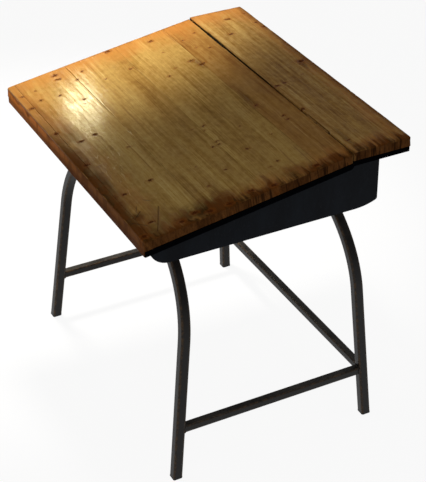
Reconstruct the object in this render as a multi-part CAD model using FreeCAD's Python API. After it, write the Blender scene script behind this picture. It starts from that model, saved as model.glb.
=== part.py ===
import FreeCAD, Part
import math
import os

# School desk: a sloping lid hinged to a fixed rear board, over a folded steel book box
# that stands on two bent tube leg frames.
# Millimetres. X runs across the desk, +Y to the rear, +Z up.
# The origin is on the floor, under the middle of the desk top.

V = FreeCAD.Vector

# Desk top
top_width = 610.0
top_depth = 498.0
rear_height = 591.0        # floor to the top of the rear board
front_height = 528.5       # floor to the front top edge of the lid
board_thick = 18.0
rear_board_depth = 112.5
lid_step = 3.4             # rear edge of the lid below the top of the rear board
slit = 1.8                 # between the lid and the rear board
lid_staves = 4
rear_stave = 59.0          # width of the stave next to the slit
nosing_depth = 14.0
edge_round = 2.0           # worn rounding of the outer top edges
lid_rest = 2.0             # gap between the lid and the box flange, taken up by the buffers

# Lid battens
batten_inset = 130.0       # desk top edge to the middle of the batten
batten_width = 45.0
batten_thick = 16.0
batten_end_gap = 26.0      # batten end to the inside of the box front, and to the hinge line

# Hinges
hinge_inset = 115.0        # desk top edge to the middle of the hinge
leaf_length = 72.0
leaf_height = 12.0
leaf_thick = 1.0
knuckle_count = 5
knuckle_dia = 4.0
knuckle_gap = 0.3          # between neighbouring knuckles
knuckle_clear = 0.1        # knuckle to the wood on each side
notch_clear = 0.4          # leaf notch to the knuckle of the other leaf
mortise_clear = 0.3        # leaf to the ends and the floor of its mortise
hinge_drop = 0.4           # pin below the rear top edge of the lid
pin_dia = 2.0
pin_play = 0.05            # radial

# Book box
sheet = 1.2
fold_radius = 1.2          # inside radius of the folds
side_inset = 36.0          # desk top edge to the box side
front_inset = 23.0
rear_inset = 37.0
box_depth = 76.9           # front top edge of the lid to the bottom of the box
front_bend = 38.0
rear_ramp = 24.0           # stretch of the bottom that rises to the rear wall
rear_rise = 9.0
rear_corner = 5.0
ramp_share = 0.95          # part of the rising stretch that its wide bend takes up
lip_height = 10.0
lip_inset = 1.0            # lip behind the edge of the wood
flange_jog = 4.6           # length of the step in the flange under the slit
part_gap = 0.6             # steel to the moving wood of the nosing

# Leg frames and rails
leg_tube = 18.0
leg_wall = 1.5
leg_corner = 2.0           # taken off each outside corner of the tube
bend_radius = 180.0
leg_splay = 4.4            # degrees, sideways
front_lean = 6.5           # degrees, foot ahead of the top
rear_lean = 3.6            # degrees, foot behind the top
foot_side_inset = 22.0     # desk top edge to the tube centre at the floor
foot_front_inset = 55.3
foot_rear_inset = 46.3
rail_tube = 15.0
rail_wall = 1.2
rail_corner = 1.7
rail_height = 100.0        # rail centre above the floor

# Glides
glide_flange = 3.0
glide_plug = 20.0
glide_play = 0.1

# Mounting brackets
bracket_plate = 3.0
bracket_cheek = 4.0
bracket_reach = 46.0       # plate past the tube centre
bracket_end_gap = 6.0      # bracket end to the start of the tube bend
bolt_row = 32.0            # bolts from the tube centre
bolt_inset = 10.0          # bracket end to the outer bolt
bolt_count = 3
bolt_dia = 6.0
bolt_head_high = 4.0
bolt_end = 2.5             # bolt past its nut
nut_width = 10.0           # across the flats of the nut and of the bolt head
nut_high = 5.0

# Screws and buffers
hole_play = 0.3            # radial, in steel
wood_fit = 0.05            # radial, around a screw in wood
hinge_screw_dia = 3.0
hinge_screw_head = 5.4
hinge_screw_long = 13.0
hinge_screw_pitch = 26.0
hinge_screws = 3
screw_dia = 4.0
screw_head_dia = 8.0
screw_head_high = 2.6
screw_bite = 12.0          # length in the board
rear_screw_inset = 25.0    # from the front and the rear of the board
buffer_dia = 12.0
buffer_sides = 16
buffer_clear = 0.3
buffer_stem = 5.0
buffer_grip = 7.0
buffer_grip_high = 3.0
buffer_front_inset = 60.0  # along the lid from its front edge
buffer_rear_inset = 85.0   # and from its rear edge

# Places worked out from the sizes
half_width = top_width / 2
y_front = -top_depth / 2
y_rear = top_depth / 2
y_board = y_rear - rear_board_depth
y_lid = y_board - slit
mortise = knuckle_dia / 2 + knuckle_clear - slit / 2
z_lid = rear_height - lid_step
slope = math.atan2(z_lid - front_height, y_lid - y_front)
lid_length = (y_lid - y_front) / math.cos(slope)
batten_offset = half_width - batten_inset
hinge_offset = half_width - hinge_inset
y_pin = y_board - slit / 2
z_pin = z_lid - hinge_drop
z_board_under = rear_height - board_thick
flange_depth = board_thick + lid_rest
nosing_height = flange_depth + lip_height
box_half = half_width - side_inset
y_wall_front = y_front + front_inset
y_wall_rear = y_rear - rear_inset
lip_x = half_width - lip_inset
lip_y = y_rear - lip_inset
y_flange_front = y_front + nosing_depth * math.cos(slope) + part_gap
flange_mid = (box_half + lip_x) / 2
box_bottom = front_height - box_depth
foot_x = half_width - foot_side_inset
buffer_s = (buffer_front_inset, lid_length - buffer_rear_inset)


def flange_z(y):
    """Top of the box flange under the lid."""
    return front_height + (y - y_front) * math.tan(slope) - flange_depth / math.cos(slope)


def on_side(y, z):
    """Point of a profile drawn in the side view."""
    return V(0, y, z)


def on_front(x, z):
    """Point of a profile drawn in the front view."""
    return V(x, 0, z)


def rounded(points, place):
    """Edges through (u, v, radius) points, with a tangent arc at each inner point that has a radius."""
    corners = [place(u, v) for u, v, radius in points]
    edges = []
    start = corners[0]
    for i in range(1, len(points) - 1):
        radius = points[i][2]
        if radius == 0:
            edges.append(Part.makeLine(start, corners[i]))
            start = corners[i]
            continue
        back = (corners[i - 1] - corners[i]).normalize()
        ahead = (corners[i + 1] - corners[i]).normalize()
        half = back.getAngle(ahead) / 2
        first = corners[i] + back * (radius / math.tan(half))
        last = corners[i] + ahead * (radius / math.tan(half))
        middle = corners[i] + (back + ahead).normalize() * (radius / math.sin(half) - radius)
        edges.append(Part.makeLine(start, first))
        edges.append(Part.Arc(first, middle, last).toShape())
        start = last
    edges.append(Part.makeLine(start, corners[-1]))
    return edges


def offset_points(points, distance):
    """The same line moved to its left by a distance, with its radii changed to suit."""
    normals = []
    for (u0, v0, r0), (u1, v1, r1) in zip(points, points[1:]):
        length = math.hypot(u1 - u0, v1 - v0)
        normals.append((-(v1 - v0) / length, (u1 - u0) / length))
    moved = []
    for i, (u, v, radius) in enumerate(points):
        before = normals[max(i - 1, 0)]
        after = normals[min(i, len(normals) - 1)]
        share = distance / (1 + before[0] * after[0] + before[1] * after[1])
        turn = before[0] * after[1] - before[1] * after[0]
        if radius > 0:
            radius += -distance if turn > 0 else distance
        moved.append((u + (before[0] + after[0]) * share, v + (before[1] + after[1]) * share, radius))
    return moved


def closed_face(*runs):
    """Face inside several runs of edges that follow each other end to end."""
    edges = []
    for run in runs:
        edges.extend(run)
    return Part.Face(Part.Wire(Part.__sortEdges__(edges)))


def folded_sheet(points, thickness):
    """Section of a sheet whose one side follows the points and whose body lies to their left."""
    inner = offset_points(points, thickness)
    ends = []
    for i in (0, -1):
        ends.append(Part.makeLine(on_side(*points[i][:2]), on_side(*inner[i][:2])))
    return closed_face(rounded(points, on_side), rounded(inner, on_side), ends)


def across(face, x_from, x_to):
    """Side-view face drawn out across the desk."""
    return face.translated(V(x_from, 0, 0)).extrude(V(x_to - x_from, 0, 0))


def polygon(points):
    """Side-view face with straight edges."""
    return Part.Face(Part.makePolygon([on_side(*p) for p in points + points[:1]]))


def block(low, high):
    """Box between two corners."""
    return Part.makeBox(high[0] - low[0], high[1] - low[1], high[2] - low[2], V(*low))


def mirrored(shape):
    """The same piece for the other side of the desk."""
    return shape.mirror(V(0, 0, 0), V(1, 0, 0))


def rod(dia, z_from, z_to, sides=8):
    """Bar about Z with a few flat sides, which keeps small hardware and its holes light."""
    reach = dia / 2 / math.cos(math.pi / sides)
    corners = [V(reach * math.cos(2 * math.pi * i / sides), reach * math.sin(2 * math.pi * i / sides), z_from)
               for i in range(sides + 1)]
    return Part.Face(Part.makePolygon(corners)).extrude(V(0, 0, z_to - z_from))


def round_edges(shape, radius, wanted):
    """Fillet of the edges that the test picks."""
    return shape.makeFillet(radius, [edge for edge in shape.Edges if wanted(edge)])


def without(shape, tools):
    """Shape with every tool cut out of it."""
    return shape.cut(Part.makeCompound(tools))


def on_lid(shape):
    """Moves a piece drawn on the flat lid, with Y from its front edge and Z up from its top, into place."""
    sloped = shape.copy()
    sloped.rotate(V(0, 0, 0), V(1, 0, 0), math.degrees(slope))
    return sloped.translated(V(0, y_front, front_height))


def placed(shape, x, y, z, axis=None, angle=0):
    """Copy of a piece drawn at the origin, turned and moved into place."""
    moved = shape.copy()
    if axis:
        moved.rotate(V(0, 0, 0), V(*axis), angle)
    return moved.translated(V(x, y, z))


def save(name, shape):
    """Writes one piece, or one group of like pieces."""
    shape.exportStep("parts/%s.step" % name)


# Wooden top

# Screws through the battens into the lid, drawn on the flat lid
batten_under = -board_thick - batten_thick
stave_width = (lid_length - nosing_depth - rear_stave) / (lid_staves - 1)
stave_edges = [nosing_depth + stave_width * i for i in range(lid_staves)] + [lid_length]
stave_spans = list(zip(stave_edges, stave_edges[1:]))
batten_head_z = batten_under + screw_head_high
batten_screw = rod(screw_head_dia, batten_under, batten_head_z).fuse(
    rod(screw_dia, batten_head_z, -board_thick + screw_bite)).removeSplitter()
batten_hole = rod(screw_head_dia + 2 * wood_fit, batten_under, batten_head_z).fuse(
    rod(screw_dia + 2 * wood_fit, batten_head_z, -board_thick + screw_bite))
batten_start = (y_wall_front + sheet + batten_end_gap - y_front) / math.cos(slope)
batten_stop = lid_length - batten_end_gap
batten_screw_s = [(max(front, batten_start) + min(rear, batten_stop)) / 2 for front, rear in stave_spans]
batten_places = [(side * batten_offset, s) for side in (-1, 1) for s in batten_screw_s]

# Screws of the hinge leaves, drawn along +Y with the head at the leaf
hinge_screw_z = z_pin - (knuckle_dia / 2 + leaf_height) / 2
hinge_centres = (-hinge_offset, hinge_offset)
hinge_screw_x = [centre + hinge_screw_pitch * (i - (hinge_screws - 1) / 2)
                 for centre in hinge_centres for i in range(hinge_screws)]


def hinge_screw(side, play):
    """Screws of the fixed leaves (side 1) or of the lid leaves (side -1), or their holes with some play."""
    one = rod(hinge_screw_head + 2 * play, 0, leaf_thick).fuse(
        rod(hinge_screw_dia + 2 * play, leaf_thick, hinge_screw_long)).removeSplitter()
    y_head = y_pin + side * (slit / 2 + mortise - leaf_thick)
    return [placed(one, x, y_head, hinge_screw_z, (1, 0, 0), -90 * side) for x in hinge_screw_x]


def mortises(side):
    """Shallow recesses in the edge of the rear board (side 1) or of the lid (side -1) that take the leaves."""
    half = leaf_length / 2 + mortise_clear
    y_ends = sorted([y_pin, y_pin + side * (slit / 2 + mortise)])
    z_floor = z_pin - leaf_height - mortise_clear
    return [block((x - half, y_ends[0], z_floor), (x + half, y_ends[1], rear_height)) for x in hinge_centres]


def plumb_strip(front, rear, thick):
    """Strip of the flat lid whose front and rear faces stand plumb once the lid slopes."""
    lean = thick * math.tan(slope)
    outline = polygon([(front, 0), (rear, 0), (rear - lean, -thick), (front - lean, -thick)])
    return across(outline, -half_width, half_width)


def lid_pieces():
    """Glued staves from front to rear, and the nosing along the front edge."""
    holes = [placed(batten_hole, x, s, 0) for x, s in batten_places]
    pieces = {}
    for i, (front, rear) in enumerate(stave_spans):
        stave = without(plumb_strip(front, rear, board_thick), holes)
        stave = on_lid(round_edges(stave, edge_round, is_end_top))
        if i == lid_staves - 1:
            stave = without(stave, mortises(-1) + hinge_screw(-1, wood_fit))
        pieces["lid_stave_%d" % (i + 1)] = stave
    nosing = plumb_strip(0, nosing_depth, nosing_height)
    lip_room = half_width - (lip_x - sheet - part_gap)
    reach = nosing_height + nosing_depth
    for x in (-half_width, half_width - lip_room):
        nosing = nosing.cut(Part.makeBox(lip_room, 2 * reach, nosing_height - board_thick,
                                         V(x, -reach, -nosing_height)))
    nosing = round_edges(nosing, edge_round, lambda edge: is_end_top(edge) or is_front_top(edge))
    pieces["lid_nosing"] = on_lid(nosing)
    return pieces


def is_end_top(edge):
    """Top edge at an end of a lid piece that is still flat."""
    box = edge.BoundBox
    return box.ZLength < 1e-6 and abs(box.ZMax) < 1e-6 and abs(abs(box.Center.x) - half_width) < 1e-6


def is_front_top(edge):
    """Front top edge of the flat lid."""
    box = edge.BoundBox
    return box.XLength > half_width and abs(box.ZMax) < 1e-6 and abs(box.YMax) < 1e-6


def batten(side):
    """Batten under the lid, with its front and rear ends bevelled."""
    bevel = batten_thick / 2
    outline = polygon([(batten_start, -board_thick), (batten_stop, -board_thick),
                       (batten_stop, -board_thick - bevel), (batten_stop - bevel, batten_under),
                       (batten_start + bevel, batten_under), (batten_start, -board_thick - bevel)])
    x = side * batten_offset
    bar = across(outline, x - batten_width / 2, x + batten_width / 2)
    return on_lid(without(bar, [placed(batten_hole, x, s, 0) for s in batten_screw_s]))


# Screws that hold the rear board from below
rear_screw_places = [(side * flange_mid, y) for side in (-1, 1)
                     for y in (y_board + rear_screw_inset, y_rear - rear_screw_inset)]
rear_screw_places += [(side * batten_offset, (y_wall_rear + lip_y) / 2) for side in (-1, 1)]
rear_screw = rod(screw_head_dia, -sheet - screw_head_high, -sheet).fuse(
    rod(screw_dia, -sheet, screw_bite)).removeSplitter()
rear_screw_hole = rod(screw_dia + 2 * hole_play, -2 * sheet, 0)
rear_screw_pilot = rod(screw_dia + 2 * wood_fit, 0, screw_bite)


def rear_board():
    """Fixed flat board behind the slit."""
    board = block((-half_width, y_board, z_board_under), (half_width, y_rear, rear_height))
    board = round_edges(board, edge_round, lambda edge: edge.BoundBox.ZMin > rear_height - 1e-6)
    pilots = [placed(rear_screw_pilot, x, y, z_board_under) for x, y in rear_screw_places]
    return without(board, pilots + mortises(1) + hinge_screw(1, wood_fit))


# Hinges

def knuckle_spans(centre, moving, gap):
    """The (from, to) of each knuckle of one leaf along X, with a gap taken off both of its ends."""
    pitch = leaf_length / knuckle_count
    starts = [centre - leaf_length / 2 + pitch * i for i in range(knuckle_count) if (i % 2 == 1) == moving]
    return [(start + gap, start + pitch - gap) for start in starts]


def pin_bar(dia, x_from, x_to):
    """Round bar on the hinge line."""
    return Part.makeCylinder(dia / 2, x_to - x_from, V(x_from, y_pin, z_pin), V(1, 0, 0))


def hinge_leaf(centre, moving):
    """Leaf screwed to the wood, with rolled knuckles that interleave with those of the other leaf."""
    side = -1 if moving else 1
    y_seat = y_pin + side * (slit / 2 + mortise)
    y_from, y_to = sorted([y_seat, y_seat - side * leaf_thick])
    x_from = centre - leaf_length / 2
    x_to = centre + leaf_length / 2
    plate = block((x_from, y_from, z_pin - leaf_height), (x_to, y_to, z_pin))
    z_notch = z_pin - knuckle_dia / 2 - notch_clear
    notches = [block((start, y_from, z_notch), (stop, y_to, z_pin))
               for start, stop in knuckle_spans(centre, not moving, -knuckle_gap / 2)]
    rolls = [pin_bar(knuckle_dia, start, stop)
             for start, stop in knuckle_spans(centre, moving, knuckle_gap / 2)]
    leaf = without(plate, notches).multiFuse(rolls).removeSplitter()
    bore = pin_bar(pin_dia + 2 * pin_play, x_from, x_to)
    return without(leaf, [bore] + hinge_screw(side, hole_play))


def hinge_pin(centre):
    """Pin through all the knuckles of a hinge."""
    return pin_bar(pin_dia, centre - leaf_length / 2, centre + leaf_length / 2)


# Book box

ramp_turn = math.atan2(rear_rise, rear_ramp)
ramp_free = math.hypot(rear_ramp, rear_rise) - rear_corner * math.tan((math.pi / 2 - ramp_turn) / 2)
sweep_radius = ramp_share * ramp_free / math.tan(ramp_turn / 2)
sheet_drop = sheet / math.cos(slope)

# Outside of the tray from the top of its front wall, under the bottom, to the top of its rear wall
wall_line = [
    (y_wall_front, flange_z(y_wall_front) - sheet_drop, fold_radius),
    (y_wall_front, box_bottom, front_bend),
    (y_wall_rear - rear_ramp, box_bottom, sweep_radius),
    (y_wall_rear, box_bottom + rear_rise, rear_corner),
    (y_wall_rear, z_board_under - sheet, fold_radius),
]
# Top of the flange at the sides, from the nosing over the kink at the slit to the rear
flange_line = [
    (y_flange_front, flange_z(y_flange_front)),
    (y_lid, flange_z(y_lid)),
    (y_lid + flange_jog, z_board_under),
    (lip_y, z_board_under),
]

# Brackets: where the tube of each frame runs under the box
lean_of = {"front": math.radians(front_lean), "rear": -math.radians(rear_lean)}
foot_y = {"front": y_front + foot_front_inset, "rear": y_rear - foot_rear_inset}
inward = {"front": 1, "rear": -1}


def bar_height(name):
    """Centre of the top bar of a leg frame, just under the bracket plate."""
    lean = abs(lean_of[name])
    return box_bottom - bracket_plate - leg_tube / 2 * (math.cos(lean) + math.sin(lean))


def bar_y(name):
    """Y of the top bar of a leg frame."""
    return foot_y[name] + bar_height(name) * math.tan(lean_of[name])


def bar_straight(name):
    """Half length of the straight part of the top bar."""
    turn = math.pi / 2 - math.radians(leg_splay)
    return leg_x(name, bar_height(name)) - bend_radius * math.tan(turn / 2)


def leg_x(name, z):
    """Centre of a straight leg at a height, measured across the desk."""
    return foot_x - z / math.cos(lean_of[name]) * math.tan(math.radians(leg_splay))


bracket_half = min(bar_straight("front"), bar_straight("rear")) - bracket_end_gap
bolt_pitch = 2 * (bracket_half - bolt_inset) / (bolt_count - 1)
bolt_x = [bolt_pitch * i + bolt_inset - bracket_half for i in range(bolt_count)]
bolt_places = [(x, bar_y(name) + inward[name] * bolt_row) for name in ("front", "rear") for x in bolt_x]


def tray():
    """One folded sheet: front flange, front wall, bottom, rear wall, rear flange and lip."""
    line = [(y_flange_front, flange_z(y_flange_front) - sheet_drop, 0)] + wall_line + [
        (lip_y - sheet, z_board_under - sheet, fold_radius),
        (lip_y - sheet, z_board_under - lip_height, 0),
    ]
    body = across(folded_sheet(line, sheet), -box_half + sheet, box_half - sheet)
    bolt_hole = rod(bolt_dia + 2 * hole_play, box_bottom - sheet, box_bottom + 2 * sheet)
    holes = [placed(bolt_hole, x, y, 0) for x, y in bolt_places]
    holes += [placed(rear_screw_hole, x, y, z_board_under) for x, y in rear_screw_places]
    return without(body, holes)


def box_envelope(grow):
    """Side view of the box, down to its outside grown by a distance, closed along the flange."""
    line = [(y, z, 0 if i in (0, len(wall_line) - 1) else r) for i, (y, z, r) in enumerate(wall_line)]
    line[0] = (y_wall_front, flange_z(y_wall_front), 0)
    line[-1] = (y_wall_rear, z_board_under, 0)
    if grow:
        line = offset_points(line, -grow)
    top = [line[-1][:2], flange_line[2], flange_line[1], line[0][:2]]
    return closed_face(rounded(line, on_side), Part.makePolygon([on_side(*p) for p in top]).Edges)


def box_side():
    """Right side panel: a wedge-shaped plate with an out-turned flange and a lip turned down from it."""
    plate = across(box_envelope(0), box_half - sheet, box_half)
    line = [(y, z, 0) for y, z in flange_line]
    under = [(y, z, 0) for y, z, r in offset_points(line, -sheet)]
    flange = across(polygon([p[:2] for p in line + under[::-1]]), box_half - sheet, lip_x)
    lip_drop = lip_height / math.cos(slope)
    y_lip_front = y_front + lip_inset
    top = [(y_lip_front, flange_z(y_lip_front))] + flange_line[1:]
    drops = (lip_drop, lip_drop, lip_height, lip_height)
    bottom = [(y, z - drop) for (y, z), drop in zip(top, drops)]
    lip = across(polygon(top + bottom[::-1]), lip_x - sheet, lip_x)
    rear_lip = block((box_half - sheet, lip_y - sheet, z_board_under - lip_height),
                     (lip_x, lip_y, z_board_under))
    panel = plate.multiFuse([flange, lip, rear_lip]).removeSplitter()
    holes = [placed(rear_screw_hole, x, y, z_board_under) for x, y in rear_screw_places]
    stem_hole = rod(buffer_stem + 2 * hole_play, -flange_depth - 2 * sheet, -flange_depth + sheet)
    holes += [on_lid(placed(stem_hole, flange_mid, s, 0)) for s in buffer_s]
    return without(panel, holes)


def lid_buffer():
    """Rubber button with a stem and a grip under the flange, drawn on the flat lid."""
    under = -flange_depth - sheet
    button = rod(buffer_dia, -flange_depth, -board_thick - buffer_clear, buffer_sides)
    stem = rod(buffer_stem, under, -flange_depth)
    grip = rod(buffer_grip, under - buffer_grip_high, under)
    return button.multiFuse([stem, grip]).removeSplitter()


# Leg frames

def square_section(width, corner):
    """Square face in the XY plane, with its corners taken off where a size is given."""
    w = width / 2
    k = w - corner
    corners = [(w, k), (k, w), (-k, w), (-w, k), (-w, -k), (-k, -w), (k, -w), (w, -k)]
    if corner == 0:
        corners = corners[::2]
    return Part.Face(Part.makePolygon([V(x, y, 0) for x, y in corners + corners[:1]]))


def swept(edges, section):
    """Bar along straight runs and arcs of the front view, with its section drawn in the XY plane."""
    pieces = []
    for edge in edges:
        start = edge.valueAt(edge.FirstParameter)
        ahead = edge.tangentAt(edge.FirstParameter)
        lean = math.degrees(math.atan2(ahead.x, ahead.z))
        face = placed(section, start.x, start.y, start.z, (0, 1, 0), lean)
        if isinstance(edge.Curve, Part.Circle):
            turn = math.degrees(edge.LastParameter - edge.FirstParameter)
            pieces.append(face.revolve(edge.Curve.Center, edge.Curve.Axis, turn))
        else:
            pieces.append(face.extrude(edge.valueAt(edge.LastParameter) - start))
    return pieces[0].multiFuse(pieces[1:]).removeSplitter()


def frame_sweep(name, width, corner):
    """Solid bar of a given section along the inverted U of a leg frame, from below the floor."""
    lean = lean_of[name]
    splay = math.tan(math.radians(leg_splay))
    top = bar_height(name) / math.cos(lean)
    below = -leg_tube
    corner_x = foot_x - top * splay
    start_x = foot_x - below * splay
    line = [(-start_x, below, 0), (-corner_x, top, bend_radius),
            (corner_x, top, bend_radius), (start_x, below, 0)]
    solid = swept(rounded(line, on_front), square_section(width, corner))
    solid.rotate(V(0, 0, 0), V(1, 0, 0), -math.degrees(lean))
    return solid.translated(V(0, foot_y[name], 0))


def floor_slab(z_from, z_to):
    """Everything near the floor between two heights."""
    return block((-top_width, -top_depth, z_from), (top_width, top_depth, z_to))


def leg_y(name, z):
    """Centre of a leg at a height, measured along the desk."""
    return foot_y[name] + z * math.tan(lean_of[name])


def square_tube(length, width, wall, corner):
    """Hollow bar along Z from the origin."""
    outside = square_section(width, corner).extrude(V(0, 0, length))
    inside = square_section(width - 2 * wall, 0).extrude(V(0, 0, length))
    return outside.cut(inside)


def side_rail(bars):
    """Right rail from the front leg to the rear leg, cut to their faces."""
    start = leg_y("front", rail_height)
    length = leg_y("rear", rail_height) - start
    rail = square_tube(length, rail_tube, rail_wall, rail_corner)
    x = (leg_x("front", rail_height) + leg_x("rear", rail_height)) / 2
    return without(placed(rail, x, start, rail_height, (1, 0, 0), -90), bars)


def cross_rail(bar):
    """Rail between the two rear legs, cut to their faces."""
    half = leg_x("rear", rail_height)
    rail = square_tube(2 * half, rail_tube, rail_wall, rail_corner)
    return placed(rail, -half, leg_y("rear", rail_height), rail_height, (0, 1, 0), 90).cut(bar)


def glides(name, bar):
    """Plastic inserts of a frame's two feet: a flange under the tube end and a plug inside it."""
    room = leg_tube - 2 * leg_wall
    plug = frame_sweep(name, room - 2 * glide_play, 0)
    both = bar.common(floor_slab(0, glide_flange)).fuse(
        plug.common(floor_slab(glide_flange, glide_flange + glide_plug))).removeSplitter()
    return sorted(both.Solids, key=lambda solid: solid.CenterOfMass.x)


def bracket(name, bar):
    """Plate against the box bottom with two cheeks that hold the tube of a leg frame."""
    half = bracket_half
    side = inward[name]
    y_bar = bar_y(name)
    z_bar = bar_height(name)
    cheek = leg_tube / 2 + bracket_cheek
    saddle = block((-half, -cheek, -leg_tube / 4), (half, cheek, leg_tube))
    saddle = placed(saddle, 0, y_bar, z_bar, (1, 0, 0), -math.degrees(lean_of[name]))
    skin = across(box_envelope(bracket_plate), -half, half)
    y_ends = sorted([y_bar - side * cheek, y_bar + side * bracket_reach])
    plate = skin.common(block((-half, y_ends[0], box_bottom - 2 * bracket_plate),
                              (half, y_ends[1], box_bottom + rear_rise)))
    body = saddle.fuse(plate).cut(across(box_envelope(0), -half, half)).cut(bar).removeSplitter()
    bolt_hole = rod(bolt_dia + 2 * hole_play, box_bottom - 2 * bracket_plate, box_bottom)
    body = without(body, [placed(bolt_hole, x, y, 0) for x, y in bolt_places])
    return max(body.Solids, key=lambda solid: solid.Volume)


def mount_bolt():
    """Hexagon bolt from inside the box, drawn with the outside of the box bottom at Z 0."""
    head = rod(nut_width, sheet, sheet + bolt_head_high, 6)
    return head.fuse(rod(bolt_dia, -bracket_plate - nut_high - bolt_end, sheet)).removeSplitter()


def mount_nut():
    """Hexagon nut under a bracket plate."""
    low = -bracket_plate - nut_high
    return rod(nut_width, low, -bracket_plate, 6).cut(rod(bolt_dia + 2 * wood_fit, low, -bracket_plate))


def main():
    os.makedirs("parts", exist_ok=True)

    for name, piece in lid_pieces().items():
        save(name, piece)
    save("lid_batten_left", batten(-1))
    save("lid_batten_right", batten(1))
    save("lid_batten_screws", Part.makeCompound([on_lid(placed(batten_screw, x, s, 0))
                                                 for x, s in batten_places]))
    save("rear_board", rear_board())
    save("rear_board_screws", Part.makeCompound([placed(rear_screw, x, y, z_board_under)
                                                 for x, y in rear_screw_places]))

    for word, centre in zip(("left", "right"), hinge_centres):
        save("hinge_%s_fixed_leaf" % word, hinge_leaf(centre, False))
        save("hinge_%s_lid_leaf" % word, hinge_leaf(centre, True))
        save("hinge_%s_pin" % word, hinge_pin(centre))
    save("hinge_fixed_screws", Part.makeCompound(hinge_screw(1, 0)))
    save("hinge_lid_screws", Part.makeCompound(hinge_screw(-1, 0)))

    side = box_side()
    save("box_side_right", side)
    save("box_side_left", mirrored(side))
    save("box_tray", tray())
    buffers = [on_lid(placed(lid_buffer(), x, s, 0)) for x in (-flange_mid, flange_mid) for s in buffer_s]
    save("lid_buffers", Part.makeCompound(buffers))

    bars = {name: frame_sweep(name, leg_tube, leg_corner) for name in ("front", "rear")}
    for name, bar in bars.items():
        bore = frame_sweep(name, leg_tube - 2 * leg_wall, 0)
        save("%s_leg_frame" % name, bar.cut(bore).cut(floor_slab(-4 * leg_tube, glide_flange)))
        for word, glide in zip(("left", "right"), glides(name, bar)):
            save("%s_%s_glide" % (name, word), glide)
        save("%s_bracket" % name, bracket(name, bar))
    rail = side_rail(list(bars.values()))
    save("side_rail_right", rail)
    save("side_rail_left", mirrored(rail))
    save("rear_cross_rail", cross_rail(bars["rear"]))

    save("bracket_bolts", Part.makeCompound([placed(mount_bolt(), x, y, box_bottom) for x, y in bolt_places]))
    save("bracket_nuts", Part.makeCompound([placed(mount_nut(), x, y, box_bottom) for x, y in bolt_places]))


main()
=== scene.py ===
from functools import partialmethod
from math import acos, asin, atan2, cos, exp, hypot, pi, radians, sin, tan, tau

import bmesh
import bpy
from mathutils import Matrix, Quaternion, Vector, noise


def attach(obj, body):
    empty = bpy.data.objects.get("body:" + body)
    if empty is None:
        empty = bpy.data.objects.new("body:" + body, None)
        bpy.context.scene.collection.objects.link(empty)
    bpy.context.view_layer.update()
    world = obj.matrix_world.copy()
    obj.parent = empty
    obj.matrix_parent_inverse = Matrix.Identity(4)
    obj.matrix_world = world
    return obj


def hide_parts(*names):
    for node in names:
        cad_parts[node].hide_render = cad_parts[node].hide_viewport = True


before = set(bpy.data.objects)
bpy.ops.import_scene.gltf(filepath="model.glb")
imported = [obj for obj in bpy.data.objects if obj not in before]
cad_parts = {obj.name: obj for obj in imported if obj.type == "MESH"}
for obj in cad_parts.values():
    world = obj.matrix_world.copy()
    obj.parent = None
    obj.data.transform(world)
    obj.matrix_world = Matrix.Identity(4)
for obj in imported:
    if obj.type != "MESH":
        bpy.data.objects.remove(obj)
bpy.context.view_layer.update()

# Sizes of the CAD model that the pieces built here repeat, in metres.
HALF_WIDTH = 0.305
Y_FRONT, Y_REAR = -0.249, 0.249
Z_FRONT, Z_LID, Z_REAR = 0.5285, 0.5876, 0.591
Y_LID, Y_BOARD = 0.1347, 0.1365
BOARD = 0.018
SLOPE = atan2(Z_LID - Z_FRONT, Y_LID - Y_FRONT)
LID_LENGTH = hypot(Z_LID - Z_FRONT, Y_LID - Y_FRONT)
NOSING, REAR_STAVE = 0.014, 0.059
STAVE = (LID_LENGTH - NOSING - REAR_STAVE) / 3
STAVE_EDGES = [NOSING + STAVE * i for i in range(4)]
TOP_LENGTH = LID_LENGTH + Y_REAR - Y_LID

FOOT_X = 0.283
FOOT_Y = {"front": -0.1937, "rear": 0.2027}
LEAN = {"front": radians(6.5), "rear": -radians(3.6)}
SPLAY = tan(radians(4.4))
BOX_BOTTOM = 0.4516
BRACKET_PLATE = 0.003
LEG_TUBE, LEG_ROUND, BEND = 0.018, 0.0034, 0.180
RAIL_TUBE, RAIL_ROUND, RAIL_Z = 0.015, 0.0028, 0.100
FOOT_CUT = 0.003
RAIL_SUNK = 0.0008

SLIT_MIDDLE = LID_LENGTH + (Y_BOARD - Y_LID) / 2
HINGE_AT = (-0.190, 0.190)
PIN_Z, KNUCKLE, LEAF_HIGH, LEAF_SCREW_PITCH = 0.5872, 0.002, 0.012, 0.026
LEAF_SEAT = {"fixed": 0.1377, "lid": 0.1335}
MORTISE_HALF, MORTISE_DEEP, MORTISE_FLOOR = 0.0363, 0.0012, 0.5749
NOSING_HIGH, NOSING_UNDER = 0.030, 0.3022
BATTEN_AT = (-0.175, 0.175)
BATTEN_START, BATTEN_STOP = 0.0502 / cos(SLOPE), LID_LENGTH - 0.026
BATTEN_UNDER = 0.0314
FLANGE_AT, FLANGE_UNDER = (-0.2865, 0.2865), 0.5718
SIDE_SCREW_Y, REAR_SCREW_Y = (0.1615, 0.224), 0.230
BOX_SHEET = 0.0012
BOLT_AT = [(x, y) for y in (-0.1117, 0.1431) for x in (-0.06635, 0.0, 0.06635)]


def srgb(red, green, blue):
    """A colour as it looks on a screen, 0 to 255, as the linear colour that the shaders use."""
    def linear(value):
        value /= 255
        return value / 12.92 if value <= 0.04045 else ((value + 0.055) / 1.055) ** 2.4
    return linear(red), linear(green), linear(blue), 1.0


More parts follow.
